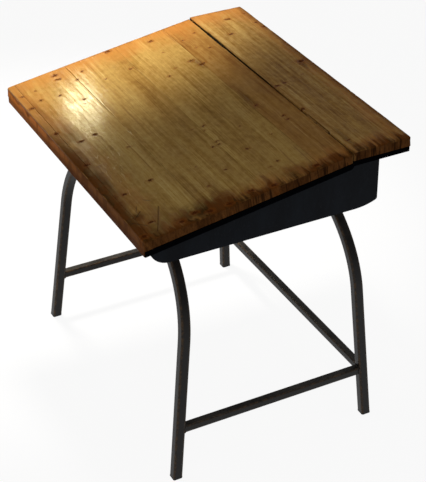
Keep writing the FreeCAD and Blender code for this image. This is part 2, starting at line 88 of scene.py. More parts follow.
class Nodes:
    """Short ways to add nodes to a tree. A value may be a number, a vector, a colour or another node's output."""

    def __init__(self, tree):
        self.tree = tree
        tree.nodes.clear()

    def feed(self, socket, value):
        """Links an output to a socket or sets its value. A colour is given as it looks on a screen, 0 to 255."""
        if isinstance(value, bpy.types.NodeSocket):
            self.tree.links.new(value, socket)
        else:
            socket.default_value = srgb(*value) if socket.type == "RGBA" else value

    def add(self, kind, *values, **named):
        """A new node. Values feed its sockets in order or by name. Names without a capital are settings."""
        node = self.tree.nodes.new("ShaderNode" + kind)
        for key, value in named.items():
            if key[0].isupper():
                self.feed(node.inputs[key], value)
            else:
                setattr(node, key, value)
        for socket, value in zip(node.inputs, values):
            self.feed(socket, value)
        return node

    def math(self, operation, a, b=0.0, c=0.0):
        return self.add("Math", a, b, c, operation=operation).outputs[0]

    def chain(self, operation, first, *others):
        for value in others:
            first = self.math(operation, first, value)
        return first

    total = partialmethod(chain, "ADD")
    times = partialmethod(chain, "MULTIPLY")
    most = partialmethod(chain, "MAXIMUM")
    least = partialmethod(chain, "MINIMUM")

    def scaled(self, value, factor, more):
        return self.math("MULTIPLY_ADD", value, factor, more)

    def apart(self, a, b):
        """How far two values are from each other."""
        return self.math("ABSOLUTE", self.math("SUBTRACT", a, b))

    def sway(self, value):
        """A noise value as a swing to both sides of nought."""
        return self.math("SUBTRACT", value, 0.5)

    def vector(self, operation, a, b=(0, 0, 0), c=(0, 0, 0)):
        node = self.add("VectorMath", a, b, c, operation=operation)
        return node.outputs["Value" if operation in ("LENGTH", "DOT_PRODUCT") else "Vector"]

    def parts(self, vector):
        return self.add("SeparateXYZ", vector).outputs

    def join(self, x, y, z):
        return self.add("CombineXYZ", x, y, z).outputs[0]

    def noise(self, vector, scale, detail=2.0, rough=0.5):
        """Soft noise. Its scale is one number, or one for each axis, which draws it out along the small ones."""
        if isinstance(scale, tuple):
            vector, scale = self.vector("MULTIPLY", vector, scale), 1.0
        return self.add("TexNoise", Vector=vector, Scale=scale, Detail=detail, Roughness=rough).outputs[0]

    def remap(self, value, low, high, out_low=0.0, out_high=1.0, kind="SMOOTHSTEP"):
        return self.add("MapRange", value, low, high, out_low, out_high, interpolation_type=kind).outputs[0]

    def fade(self, value, low, high):
        """1 up to the low end and 0 from the high end on."""
        return self.remap(value, low, high, 1.0, 0.0)

    def mix(self, share, a, b):
        node = self.add("Mix", share, data_type="RGBA")
        self.feed(node.inputs[6], a)
        self.feed(node.inputs[7], b)
        return node.outputs[2]

    def ramp(self, value, *stops):
        node = self.add("ValToRGB", value)
        points = node.color_ramp.elements
        while len(points) < len(stops):
            points.new(0.5)
        for point, (position, colour) in zip(points, stops):
            point.position = position
            point.color = srgb(*colour)
        return node.outputs[0]

    def bump(self, height, distance, strength):
        return self.add("Bump", Height=height, Distance=distance, Strength=strength).outputs[0]

    def blend(self, share, a, b):
        """Mix of two shaders."""
        return self.add("MixShader", share, a.outputs[0], b.outputs[0]).outputs[0]

    def seen(self):
        """1 where the camera sees it, in a reflection too, and 0 for the light that it sheds."""
        rays = self.add("LightPath").outputs
        return self.total(rays["Is Camera Ray"], rays["Is Glossy Ray"], rays["Is Transmission Ray"])


class Paint(Nodes):
    """A material with one principled surface."""

    def __init__(self, name):
        self.material = bpy.data.materials.new(name)
        self.material.use_nodes = True
        super().__init__(self.material.node_tree)
        self.surface = self.add("BsdfPrincipled")
        self.out = self.add("OutputMaterial", self.surface.outputs[0])

    def set(self, **inputs):
        for key, value in inputs.items():
            self.feed(self.surface.inputs[key.replace("_", " ")], value)

    def place(self):
        return self.add("TexCoord").outputs["Object"]


# Knots seen on the top: across from the middle, distance from the rear edge, size, all in millimetres.
KNOTS = [
    (-33, 19, 5.0), (-22, 26, 2.6), (-261, 52, 3.6), (-198, 4, 3.6), (-222, 10, 3.0), (-270, 9, 2.6),
    (-197, 76, 3.6), (31, 88, 3.2), (35, 106, 3.4), (15, 44, 2.2), (132, 111, 3.4), (265, 100, 3.0),
    (-246, 132, 2.8), (-175, 135, 2.8), (-192, 155, 2.6), (-235, 162, 2.8), (-131, 175, 4.2), (-155, 185, 3.6),
    (125, 146, 3.0), (140, 146, 3.0), (64, 166, 3.0), (162, 191, 2.4), (-276, 212, 3.8), (-220, 213, 2.4),
    (-151, 220, 2.6), (105, 222, 2.6), (241, 223, 3.0), (248, 240, 2.6), (-132, 243, 3.0), (176, 245, 3.0),
    (62, 272, 3.0), (77, 277, 2.6), (121, 276, 3.0), (132, 277, 2.8), (132, 290, 2.8), (58, 292, 2.6),
    (-207, 287, 3.2), (-297, 295, 4.2), (207, 305, 2.8), (167, 340, 2.2), (-205, 341, 2.8), (232, 350, 2.6),
    (-262, 366, 2.8), (-239, 385, 3.0), (-212, 375, 2.2), (-165, 402, 3.2), (-150, 407, 2.6), (-284, 412, 4.2),
    (-265, 412, 3.6), (36, 405, 3.0), (153, 420, 3.6), (-208, 432, 3.2), (-40, 436, 3.4), (-36, 465, 3.8),
    (-216, 468, 3.2), (-255, 464, 2.8), (163, 472, 3.4), (-200, 493, 4.4), (-252, 492, 3.2), (290, 495, 4.4),
    (296, 380, 4.4), (292, 430, 3.8), (284, 402, 4.2), (298, 345, 4.0), (288, 300, 3.6), (299, 262, 4.2),
    (294, 178, 3.8), (262, 470, 3.6), (40, 488, 4.0), (-90, 490, 3.6),
]

# Long dark streaks: from and to across the top, distance from the rear edge, width, all in millimetres.
STREAKS = [
    (-330, -214, 175, 3.0), (-330, -137, 485, 3.0), (-102, 0, 358, 2.0), (203, 330, 204, 2.5),
    (203, 330, 180, 2.0), (-158, -112, 297, 2.0), (20, 210, 60, 1.6), (-120, 60, 128, 1.6), (-10, 150, 402, 1.8),
]

# Brown stains: middle across, distance from the rear edge, half width, half depth in millimetres, strength.
STAINS = [
    (-62, 474, 70, 24, 0.45), (110, 487, 110, 18, 0.85), (290, 385, 40, 90, 1.0), (235, 484, 24, 22, 0.9),
    (-136, 177, 24, 9, 0.6), (-22, 22, 26, 8, 0.7), (258, 100, 60, 8, 0.55), (28, 167, 56, 10, 0.5),
    (290, 215, 30, 44, 0.6), (-284, 405, 22, 16, 0.22), (-170, 486, 90, 14, 0.40), (-240, 6, 50, 9, 0.35),
    (70, 6, 120, 8, 0.40),
]

# Scratches through the varnish: two ends on the top, across and from the rear edge, and how light the line is.
SCRATCHES = [
    (227, 440, 293, 473, 0.0), (229, 439.2, 290, 469.8, 0.45), (195, 456, 208, 444, 0.0), (222, 470, 240, 490, 0.0),
    (243, 498, 268, 478, 0.0), (205, 470, 224, 480, 0.2), (150, 462, 172, 466, 0.8),
]

# Each board has its own grain and tone: how far both step where the next one starts, from the front edge to the rear.
BOARD_STEPS = list(zip(STAVE_EDGES + [SLIT_MIDDLE], (0.37, 0.83, 0.61, 1.29, 0.71), (0.02, -0.10, 0.12, -0.42, 0.36)))

# A knot's size is divided by the first two across and up the top. Knots smaller than the third are fainter.
KNOT_ACROSS, KNOT_UP, KNOT_FULL = 0.86, 0.58, 3.5

# Distances from an edge between which its side turns into the face, and places across between which the painted shade
# in the slit turns from black to a paler brown.
AT_EDGE = (0.0004, 0.0016)
SLIT_SHADE_SPAN = (-0.02, 0.12)

# Distances from the middle between which the box turns into its lip, sideways and to the rear, where it is painted
# near black as shade under the wood.
LIP_SHADE_X, LIP_SHADE_Y = (0.3016, 0.3024), (0.2456, 0.2464)


def on_top(x, back):
    """A place in millimetres, across and from the rear edge, in the wood's own coordinates."""
    return x / 1000, TOP_LENGTH - back / 1000


class Wood(Paint):
    """Varnished pine of the lid or of the rear board, in coordinates across, up the top and out of it.

    rise is how far the board stands above the lid at the slit.
    """

    def __init__(self, name, turn, move, rise):
        super().__init__(name)
        self.rise = rise
        self.spot = self.add("Mapping", self.place(), move, (turn, 0, 0), vector_type="POINT").outputs[0]
        self.u, self.v, self.w = self.parts(self.spot)
        self.right = self.math("SUBTRACT", HALF_WIDTH, self.u)
        self.left = self.total(HALF_WIDTH, self.u)
        self.rear = self.math("SUBTRACT", TOP_LENGTH, self.v)

        self.wander = self.sway(self.noise(self.spot, (4.5, 9, 9)))
        self.flat = self.join(self.u, self.scaled(self.wander, 0.006, self.v), 0.0)
        self.knot = self.nearest_knot()
        self.tone, self.grain = self.lay_grain()
        self.blot = self.noise(self.spot, (24, 24, 4.8), 4.0, 0.62)
        self.fibre = self.noise(self.grain, (10, 90, 90))
        self.uneven = self.sway(self.total(self.times(self.blot, 0.7), self.times(self.fibre, 0.3)))

        colour = self.figure()
        for layer in (self.streaks, self.stains, self.sides, self.joints, self.slit, self.knots, self.scratches):
            colour = layer(colour)
        self.varnish(colour)

    def ellipse(self, vector, x, back, half_u, half_v):
        """Distance from a place on the top, counted in its half width and half depth. All four are in millimetres."""
        u, v = on_top(x, back)
        scale_u, scale_v = 1e3 / half_u, 1e3 / half_v
        scaled = self.vector("MULTIPLY_ADD", vector, (scale_u, scale_v, 0), (-u * scale_u, -v * scale_v, 0))
        return self.vector("LENGTH", scaled)

    def nearest_knot(self):
        """Distance from the nearest knot, bent so that no knot is round."""
        frayed = self.vector("MULTIPLY", self.spot, (0.7, 1.0, 1.0))
        bend_u = self.sway(self.noise(frayed, 190.0))
        bend_v = self.sway(self.noise(self.vector("ADD", frayed, (3, 5, 0)), 240.0))
        bend = self.join(self.times(bend_u, 0.010), self.times(bend_v, 0.006), 0.0)
        bent = self.vector("ADD", self.flat, bend)
        knot = 9.0
        for x, back, size in KNOTS:
            near = self.ellipse(bent, x, back, size / KNOT_ACROSS, size / KNOT_UP)
            faint = max(0.0, KNOT_FULL - size) * 0.42
            knot = self.math("SMOOTH_MIN", self.total(near, faint), knot, 0.3)
        return knot

    def lay_grain(self):
        """Tone of the boards, and the coordinates of their grain, which knots push aside."""
        shift, tone = 0.0, 0.5
        for edge, jump, step in BOARD_STEPS:
            past = self.math("GREATER_THAN", self.v, edge)
            shift = self.scaled(past, jump, shift)
            tone = self.scaled(past, step, tone)
        around = self.fade(self.knot, 0.6, 4.5)
        along = self.total(self.v, self.times(self.wander, 0.007), self.times(around, 0.0022), shift)
        return tone, self.join(self.total(self.u, shift), along, self.times(self.w, 0.7))

    def figure(self):
        """Pale and dark grain of the wood."""
        broad = self.noise(self.grain, (1.4, 30, 30))
        self.middle = self.noise(self.grain, (4, 170, 170), 3.0, 0.6)
        self.fine = self.noise(self.grain, (16, 820, 820), 3.0, 0.65)
        pores = self.noise(self.grain, (38, 1500, 1500), 1.0)
        cloud = self.sway(self.noise(self.grain, (7, 20, 1), 3.0, 0.6))
        vary = self.remap(self.noise(self.spot, (6, 24, 1)), 0.34, 0.66, 0.42, 1.10)
        mottle = self.sway(self.noise(self.spot, (73.5, 105, 31.5), 3.0, 0.62))
        figure = self.total(self.times(broad, 0.52), self.times(self.middle, 0.62), self.times(self.fine, 0.45),
                            self.times(self.tone, 0.40), -0.99)
        figure = self.total(self.times(figure, vary), self.times(cloud, 0.28), self.times(mottle, 0.30))
        contrast = self.scaled(self.math("GREATER_THAN", self.v, SLIT_MIDDLE), 0.5, 1.0)
        colour = self.ramp(self.scaled(figure, contrast, 0.44), (0.16, (98, 66, 26)), (0.36, (136, 103, 48)),
                           (0.54, (162, 131, 70)), (0.72, (180, 153, 88)), (0.92, (200, 176, 114)))
        self.dash = self.remap(pores, 0.60, 0.74)
        colour = self.mix(self.times(self.dash, 0.40), colour, (88, 56, 26))
        ruddy = self.times(self.math("GREATER_THAN", self.v, STAVE_EDGES[3]),
                           self.remap(self.v, LID_LENGTH - 0.006, LID_LENGTH + 0.03, 0.26, 0.16))
        return self.mix(ruddy, colour, (138, 82, 32))

    def streaks(self, colour):
        """Long dark streaks along the grain."""
        row = self.scaled(self.wander, 0.02, self.v)
        streak = 0.0
        for start, end, back, width in STREAKS:
            first, line = on_top(start, back)
            last = on_top(end, back)[0]
            across = self.fade(self.apart(row, line), 0.0, width / 1000)
            along = self.times(self.remap(self.u, first, first + 0.03), self.fade(self.u, last - 0.04, last))
            streak = self.most(streak, self.times(across, along))
        return self.mix(self.times(streak, 0.6), colour, (110, 72, 36))

    def stain(self, distance, reach, spread, strength):
        """Full at an edge, fading inward with an uneven line."""
        return self.times(self.fade(self.scaled(self.uneven, spread, distance), 0.0, reach), strength)

    def stains(self, colour):
        """Edges darkened by hands and worn varnish: right and front most, then rear, orange to the left."""
        warm = self.most(self.stain(self.left, 0.085, 0.12, 1.0), self.stain(self.rear, 0.040, 0.08, 0.9),
                         self.stain(self.v, 0.075, 0.14, 0.85), self.stain(self.right, 0.050, 0.10, 1.0))
        colour = self.mix(self.times(warm, 0.70), colour, (160, 102, 44))
        teeth = self.sway(self.noise(self.grain, (5, 95, 20), 3.0, 0.6))
        ragged = self.scaled(teeth, 0.085, self.right)
        corner = self.vector("LENGTH", self.join(self.right, self.times(self.v, 0.8), 0.0))
        toward_right = self.remap(self.u, -0.20, 0.04, 0.25, 1.0)
        dark = [self.stain(ragged, 0.036, 0.100, 1.0), self.stain(self.v, 0.044, 0.10, toward_right),
                self.stain(self.rear, 0.017, 0.050, 0.80), self.stain(self.left, 0.006, 0.03, 0.55),
                self.stain(corner, 0.110, 0.18, 0.95)]
        for x, back, half_u, half_v, strength in STAINS:
            away = self.scaled(self.uneven, 2.4, self.ellipse(self.flat, x, back, half_u, half_v))
            dark.append(self.times(self.fade(away, 0.15, 1.15), strength))
        self.dark = self.most(*dark)
        blotched = self.mix(self.remap(self.uneven, -0.04, 0.05), (80, 41, 14), (28, 13, 5))
        return self.mix(self.times(self.dark, 0.88), colour, blotched)

    def sides(self, colour):
        """Sides of the boards, darker still, with end grain at the two ends, painted a lighter orange toward the left
        as though lit there, and the front face darker toward its lower edge.
        """
        end = self.least(self.right, self.left)
        self.outer = self.times(self.fade(self.w, -0.0035, -0.0010),
                                self.fade(self.least(end, self.v, self.rear), *AT_EDGE))
        side = self.mix(self.remap(self.right, *AT_EDGE), (102, 64, 32), (118, 74, 38))
        # painted light: the sides turn a bright orange toward the left end
        side = self.mix(self.remap(self.u, -0.30, 0.10), (212, 126, 54), side)
        rings = self.noise(self.grain, (0.5, 210, 120), 3.0, 0.6)
        side = self.mix(self.remap(rings, 0.48, 0.62, 0.0, 0.45), side, (54, 30, 13))
        side = self.mix(self.remap(rings, 0.30, 0.42, 0.35, 0.0), side, (140, 92, 46))
        bars = self.math("ABSOLUTE", self.sway(self.noise(self.grain, (2, 46, 5), 2.0, 0.6)))
        bars = self.times(self.fade(bars, 0.006, 0.040), self.fade(end, 0.0, 0.026),
                          self.remap(self.u, -0.28, 0.2, 0.35, 1.0), self.remap(self.v, 0.10, 0.28, 0.3, 1.0))
        side = self.mix(self.times(bars, 0.85), side, (34, 18, 8))
        colour = self.mix(self.times(bars, 0.60), colour, (46, 24, 9))
        side = self.mix(self.remap(self.blot, 0.47, 0.60, 0.0, 0.5), side, (56, 31, 14))
        low = self.remap(self.scaled(self.sway(self.blot), 0.03, self.w), -0.024, -0.010, 0.65, 0.0)
        side = self.mix(self.times(low, self.fade(self.v, 0.0, 0.003)), side, (70, 34, 12))
        return self.mix(self.outer, colour, side)

    def joints(self, colour):
        """Rubbed arris and glue lines."""
        arris = self.times(self.fade(self.apart(self.w, -0.0012), 0.0, 0.0012),
                           self.fade(self.least(self.v, self.right), 0.0, 0.0022))
        rubbed = self.times(arris, self.remap(self.blot, 0.46, 0.60), self.remap(self.u, 0.20, 0.302, 0.6, 0.15))
        colour = self.mix(rubbed, colour, (176, 126, 70))
        seam, self.off_joint = 0.0, 1.0
        for edge in STAVE_EDGES:
            gap = self.apart(self.v, edge)
            seam = self.most(seam, self.fade(gap, 0.0002, 0.0008))
            self.off_joint = self.times(self.off_joint, self.remap(gap, 0.0012, 0.004))
        seam = self.times(seam, self.remap(self.fibre, 0.38, 0.62, 0.0, 0.20))
        return self.mix(seam, colour, (92, 60, 30))

    def slit(self, colour):
        """Painted shade in the slit, black to the left and a paler brown to the right, as painted light where the slit
        is lit.
        """
        gap = self.apart(self.v, SLIT_MIDDLE)
        # painted shade: dark down in the gap and below the lid's top, black at the left, a paler painted-light brown
        # to the right
        deep = self.times(self.scaled(self.remap(self.u, *SLIT_SHADE_SPAN, 0.80, 1.0), self.rise, self.w), 0.6)
        slit_shade = self.fade(self.total(deep, gap), self.remap(self.u, *SLIT_SHADE_SPAN, 0.0010, 0.0002),
                          self.remap(self.u, *SLIT_SHADE_SPAN, 0.0015, 0.0010))
        self.slit_shade = self.times(slit_shade, self.fade(gap, 0.004, 0.006))
        slit_shade_colour = self.mix(self.remap(self.u, *SLIT_SHADE_SPAN), (22, 16, 8), (112, 78, 42))
        return self.mix(self.times(self.slit_shade, 0.95), colour, slit_shade_colour)

    def knots(self, colour):
        """Knots with a brown ring, and small flecks between them."""
        flecks = self.vector("MULTIPLY", self.grain, (0.45, 1.0, 0.3))
        flecks = self.add("TexVoronoi", Vector=flecks, Scale=42.0).outputs
        odd = self.remap(self.parts(flecks["Color"])[0], 0.80, 0.82, 9.0, 0.0)
        fleck = self.total(self.scaled(flecks["Distance"], 24.0, 0.5), odd)
        frayed = self.times(self.sway(self.noise(self.grain, (170, 420, 420), 2.0, 0.6)), 1.6)
        ring = self.fade(self.total(frayed, self.knot), 0.7, 1.9)
        colour = self.mix(self.times(ring, 0.50), colour, (122, 66, 20))
        self.core = self.fade(self.total(frayed, self.least(self.knot, fleck)), 0.45, 1.10)
        return self.mix(self.times(self.core, 0.85), colour, (66, 29, 9))

    def scratches(self, colour):
        """Scratches over everything else."""
        self.cut = 0.0
        for x0, back0, x1, back1, light in SCRATCHES:
            start, end = Vector(on_top(x0, back0)), Vector(on_top(x1, back1))
            length = (end - start).length
            run = (end - start).normalized()
            rel = self.vector("SUBTRACT", self.flat, (start.x, start.y, 0))
            along = self.vector("DOT_PRODUCT", rel, (run.x, run.y, 0))
            off = self.math("ABSOLUTE", self.vector("DOT_PRODUCT", rel, (-run.y, run.x, 0)))
            line = self.times(self.fade(off, 0.0003, 0.0011), self.remap(along, 0.0, 0.004),
                              self.fade(along, length - 0.004, length))
            shade = (60 + 150 * light, 38 + 126 * light, 22 + 84 * light)
            colour = self.mix(self.times(line, 0.7), colour, shade)
            self.cut = self.most(self.cut, line)
        return colour

    def varnish(self, colour):
        """Relief and sheen, dull where the varnish is gone."""
        height = self.total(self.times(self.fine, 0.10, self.off_joint), self.times(self.middle, 0.12, self.off_joint),
                            self.times(self.dash, -0.08), self.times(self.core, -0.5), self.times(self.cut, -1.0),
                            self.times(self.dark, self.blot, -0.6))
        # roughness and sheen follow the slit's painted shade as well as the wear
        worn = self.most(self.dark, self.slit_shade, self.outer, self.cut, self.core)
        rough = self.total(0.05, self.times(self.blot, 0.08), self.times(worn, 0.36), self.times(self.fine, 0.05))
        streaky = self.times(self.remap(self.middle, 0.38, 0.60, 0.45, 1.25),
                             self.remap(self.blot, 0.36, 0.56, 1.15, 0.65))
        shine = self.times(self.scaled(worn, -0.125, 0.13), streaky)
        self.set(Base_Color=colour, Roughness=rough, Normal=self.bump(height, 0.0006, 0.6), Specular_IOR_Level=shine)


def batten_wood(name):
    """Plain sawn wood of the battens, grain along the desk's depth."""
    p = Paint(name)
    spot = p.place()
    broad = p.noise(spot, (45, 1.35, 45))
    fine = p.noise(spot, (420, 12.6, 420), 3.0, 0.6)
    blot = p.noise(spot, 18.0, 3.0)
    figure = p.total(p.times(broad, 0.6), p.times(fine, 0.4))
    colour = p.ramp(figure, (0.30, (120, 84, 44)), (0.52, (164, 122, 68)), (0.72, (194, 156, 98)))
    colour = p.mix(p.remap(blot, 0.50, 0.75, 0.0, 0.45), colour, (96, 62, 32))
    p.set(Base_Color=colour, Roughness=p.scaled(fine, 0.2, 0.52), Normal=p.bump(fine, 0.0004, 0.7))
    return p.material


def enamel(name, base, mottle, dull, shine, wear=None):
    """Black stoved paint with a faint orange peel and scuffs.

    Tubes give a colour for worn corners, and carry some dust with painted light on their upward faces. The box has
    none, and its lip is painted near black as shade under the wood.
    """
    p = Paint(name)
    spot = p.place()
    cloud = p.noise(spot, (26, 26, 26 if wear else 10.4), 4.0, 0.62)
    speck = p.noise(spot, 240.0, 3.0, 0.6)
    peel = p.noise(spot, 900.0, 1.0)
    colour = p.mix(p.remap(cloud, 0.36, 0.68), base, mottle)
    colour = p.mix(p.remap(speck, 0.56, 0.78, 0.0, 0.5), colour, dull)
    scuff = p.remap(p.noise(spot, (60, 60, 240), 5.0, 0.72), 0.60, 0.72)
    colour = p.mix(p.times(scuff, 0.45), colour, dull)
    gloss = p.total(0.36, p.times(cloud, 0.12), p.times(scuff, 0.16))
    height = p.total(p.times(peel, 0.35), p.times(speck, 0.25))
    if wear:
        chips = p.noise(spot, 120.0, 4.0, 0.66)
        corner = p.add("Attribute", attribute_name="corner").outputs["Fac"]
        bare = p.times(corner, p.remap(chips, 0.40, 0.62, 0.15, 1.0))
        colour = p.mix(p.times(bare, 0.75), colour, wear)
        # dust and painted light: faces of the tubes that look up are paler, as where light falls on their tops
        upward = p.remap(p.parts(p.add("NewGeometry").outputs["Normal"])[2], 0.50, 0.92)
        dust_and_top_light = p.times(upward, p.remap(cloud, 0.30, 0.62, 0.05, 0.22))
        colour = p.mix(dust_and_top_light, colour, (112, 107, 100))
        gloss = p.scaled(bare, 0.12, gloss)
        height = p.scaled(bare, -0.5, height)
    else:
        x, y = p.parts(spot)[:2]
        # painted shade: the lip under the overhanging wood is painted near black and given no sheen
        lip_shade = p.most(p.remap(p.math("ABSOLUTE", x), *LIP_SHADE_X), p.remap(y, *LIP_SHADE_Y))
        colour = p.mix(p.times(lip_shade, 0.85), colour, (3, 3, 4))
        shine = p.scaled(lip_shade, -shine, shine)
    p.set(Base_Color=colour, Roughness=gloss, Normal=p.bump(height, 0.00025, 0.6), Specular_IOR_Level=shine)
    return p.material


def steel(name, tarnish, plain, bright):
    """Dulled steel with brown tarnish."""
    p = Paint(name)
    spot = p.place()
    cloud = p.noise(spot, 160.0, 4.0, 0.6)
    grit = p.noise(spot, 1400.0)
    colour = p.ramp(cloud, (0.34, tarnish), (0.50, plain), (0.70, bright))
    p.set(Base_Color=colour, Metallic=p.remap(cloud, 0.36, 0.48, 0.55, 1.0), Roughness=p.scaled(grit, 0.16, 0.36),
          Normal=p.bump(grit, 0.0001, 0.5))
    return p.material


def soft_black(name, base, worn, size, shine, slit_light_colour=None):
    """Rubber, moulded plastic or dark iron, with a fine grain and paler scuffed patches.

    Iron of the hinges gives a paler brown for the tops of its knuckles in the right part of the slit, painted light
    where the slit is lit.
    """
    p = Paint(name)
    spot = p.place()
    if slit_light_colour:
        x, _, z = p.parts(spot)
        # painted light: knuckle tops turn a paler brown to the right, where the slit is lit
        base = p.mix(p.times(p.remap(x, -0.05, 0.10), p.remap(z, 0.5840, 0.5862)), base, slit_light_colour)
    cloud = p.noise(spot, size, 4.0, 0.6)
    grit = p.noise(spot, size * 14)
    colour = p.mix(p.remap(cloud, 0.48, 0.70), base, worn)
    p.set(Base_Color=colour, Roughness=p.scaled(cloud, 0.2, 0.55), Normal=p.bump(grit, 0.0002, 0.5),
          Specular_IOR_Level=shine)
    return p.material


turned = Matrix.Rotation(-SLOPE, 3, "X") @ Vector((0, Y_FRONT, Z_FRONT))
worn_edge = 0.0004
lid_wood = Wood("lid_wood", -SLOPE, -turned, 0.0).material
rear_wood = Wood("rear_wood", 0.0, (0, LID_LENGTH - Y_LID, -Z_REAR), Z_REAR - Z_LID - worn_edge).material
batten = batten_wood("batten_wood")
box_black = enamel("box_black", (13, 16, 21), (22, 26, 32), (36, 39, 44), 0.05)
tube_black = enamel("tube_black", (17, 16, 15), (25, 22, 20), (44, 38, 33), 0.20, (92, 70, 46))
zinc = steel("zinc", (96, 78, 58), (128, 124, 118), (160, 158, 154))
# the last colour is painted light on the knuckle tops in the right part of the slit
black_iron = soft_black("black_iron", (13, 12, 11), (48, 36, 25), 160.0, 0.02, (124, 90, 48))
rubber = soft_black("rubber", (30, 29, 28), (58, 55, 52), 120.0, 0.25)
plastic = soft_black("plastic", (26, 26, 27), (74, 70, 64), 90.0, 0.3)

finish = {"wood": lid_wood, "box_paint": box_black, "tube_paint": tube_black, "steel": zinc, "rubber": rubber,
          "glide_plastic": plastic}
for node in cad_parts.values():
    for place in node.material_slots:
        place.material = finish[place.material.name.split(".")[0]]
own = {"rear_board": rear_wood, "lid_batten_left": batten, "lid_batten_right": batten}
own.update((name, black_iron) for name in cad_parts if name.startswith("hinge_"))
for name, material in own.items():
    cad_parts[name].material_slots[0].material = material


def shown(name, data):
    """A new object in the scene."""
    thing = bpy.data.objects.new(name, data)
    bpy.context.collection.objects.link(thing)
    return thing


def piece(name, mesh, body, slot, material, *nodes, smooth=40):
    """Hands a finished mesh over to the frame: its body, its finish and the CAD nodes that it stands for."""
    bmesh.ops.recalc_face_normals(mesh, faces=mesh.faces)
    data = bpy.data.meshes.new(name)
    mesh.to_mesh(data)
    mesh.free()
    data.set_sharp_from_angle(angle=radians(smooth))
    data.materials.append(material)
    thing = shown(name, data)
    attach(thing, body)
    if nodes:
        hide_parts(*nodes)


def tube_section(size, radius, steps=4):
    """Round-cornered square, with how far each point is into a corner."""
    half = size / 2
    ease = 0.0014
    points = []
    for quarter in range(4):
        turn = pi / 2 * quarter
        middle = Matrix.Rotation(turn, 2) @ Vector((half - radius, half - radius))
        before = Matrix.Rotation(turn, 2) @ Vector((half, half - radius - ease))
        after = Matrix.Rotation(turn, 2) @ Vector((half - radius - ease, half))
        points.append((before, 0.0))
        for i in range(steps + 1):
            angle = turn + pi / 2 * i / steps
            depth = 1 - abs(2 * i / steps - 1)
            points.append((middle + radius * Vector((cos(angle), sin(angle))), 0.35 + 0.65 * depth))
        points.append((after, 0.0))
    return points


def sweep(mesh, rings, closed=False):
    """Skins rings of points, each with its corner value, into a tube with capped ends or into a closed loop."""
    layer = mesh.verts.layers.float.get("corner") or mesh.verts.layers.float.new("corner")
    made = []
    for ring in rings:
        row = []
        for point, corner in ring:
            vert = mesh.verts.new(point)
            vert[layer] = corner
            row.append(vert)
        made.append(row)
    count = len(made[0])
    pairs = list(zip(made, made[1:])) + ([(made[-1], made[0])] if closed else [])
    for low, high in pairs:
        for i in range(count):
            mesh.faces.new((low[i], low[(i + 1) % count], high[(i + 1) % count], high[i]))
    if not closed:
        mesh.faces.new(list(reversed(made[0])))
        mesh.faces.new(made[-1])


def bar_height(name):
    """Height of the middle of a leg frame's top bar."""
    lean = abs(LEAN[name])
    return BOX_BOTTOM - BRACKET_PLATE - LEG_TUBE / 2 * (cos(lean) + sin(lean))


def leg_x(name, z):
    """Distance of the middle of a leg from the middle of the desk, at a height."""
    return FOOT_X - z / cos(LEAN[name]) * SPLAY


def leg_y(name, z):
    """Its place along the depth of the desk."""
    return FOOT_Y[name] + z * tan(LEAN[name])


def frame_path(name):
    """Points and directions along a leg frame, foot to foot, in the plane of the frame."""
    leg_steps, bend_steps, bar_steps = 8, 32, 6
    top = bar_height(name) / cos(LEAN[name])
    up = Vector((-SPLAY, 1)).normalized()
    sweep_angle = pi / 2 - acos(up.y)
    reach = BEND * tan(sweep_angle / 2)
    corner = Vector((FOOT_X - top * SPLAY, top))
    path = []
    start = Vector((FOOT_X, 0))
    end = corner - up * reach
    for i in range(leg_steps + 1):
        path.append((start.lerp(end, i / leg_steps), up))
    centre = end + BEND * Vector((-up.y, up.x))
    for i in range(1, bend_steps + 1):
        spin = Matrix.Rotation(sweep_angle * i / bend_steps, 2)
        path.append((centre + spin @ (end - centre), spin @ up))
    bend_end = path[-1][0].x
    for i in range(1, bar_steps + 1):
        path.append((Vector((bend_end * (1 - i / bar_steps), top)), Vector((-1, 0))))
    return path + [(Vector((-at.x, at.y)), Vector((ahead.x, -ahead.y))) for at, ahead in reversed(path[:-1])]


def leg_frame(name):
    """One bent square tube, with the corners a real tube has and the feet cut level."""
    mesh = bmesh.new()
    section = tube_section(LEG_TUBE, LEG_ROUND)
    lean = Matrix.Rotation(-LEAN[name], 3, "X")
    move = Vector((0, FOOT_Y[name], 0))
    depth = lean @ Vector((0, 1, 0))
    rings = []
    path = frame_path(name)
    for index, (point, ahead) in enumerate(path):
        ahead3 = lean @ Vector((ahead.x, 0, ahead.y))
        middle = lean @ Vector((point.x, 0, point.y)) + move
        across = depth.cross(ahead3)
        ring = []
        for offset, corner in section:
            spot = middle + across * offset.x + depth * offset.y
            if index in (0, len(path) - 1):
                spot += ahead3 * ((FOOT_CUT - spot.z) / ahead3.z)
            ring.append((spot, corner))
        rings.append(ring)
    sweep(mesh, rings)
    piece("%s_leg_tube" % name, mesh, "desk_frame", "tube_paint", tube_black, "%s_leg_frame" % name)


def rail(name, start, end, node):
    """Straight square tube between two legs."""
    steps = 8
    mesh = bmesh.new()
    ahead = (end - start).normalized()
    side = Vector((0, 0, 1)).cross(ahead)
    rings = []
    for i in range(steps + 1):
        middle = start.lerp(end, i / steps)
        rings.append([(middle + side * offset.x + Vector((0, 0, offset.y)), corner)
                      for offset, corner in tube_section(RAIL_TUBE, RAIL_ROUND)])
    sweep(mesh, rings)
    piece(name, mesh, "desk_frame", "tube_paint", tube_black, node)


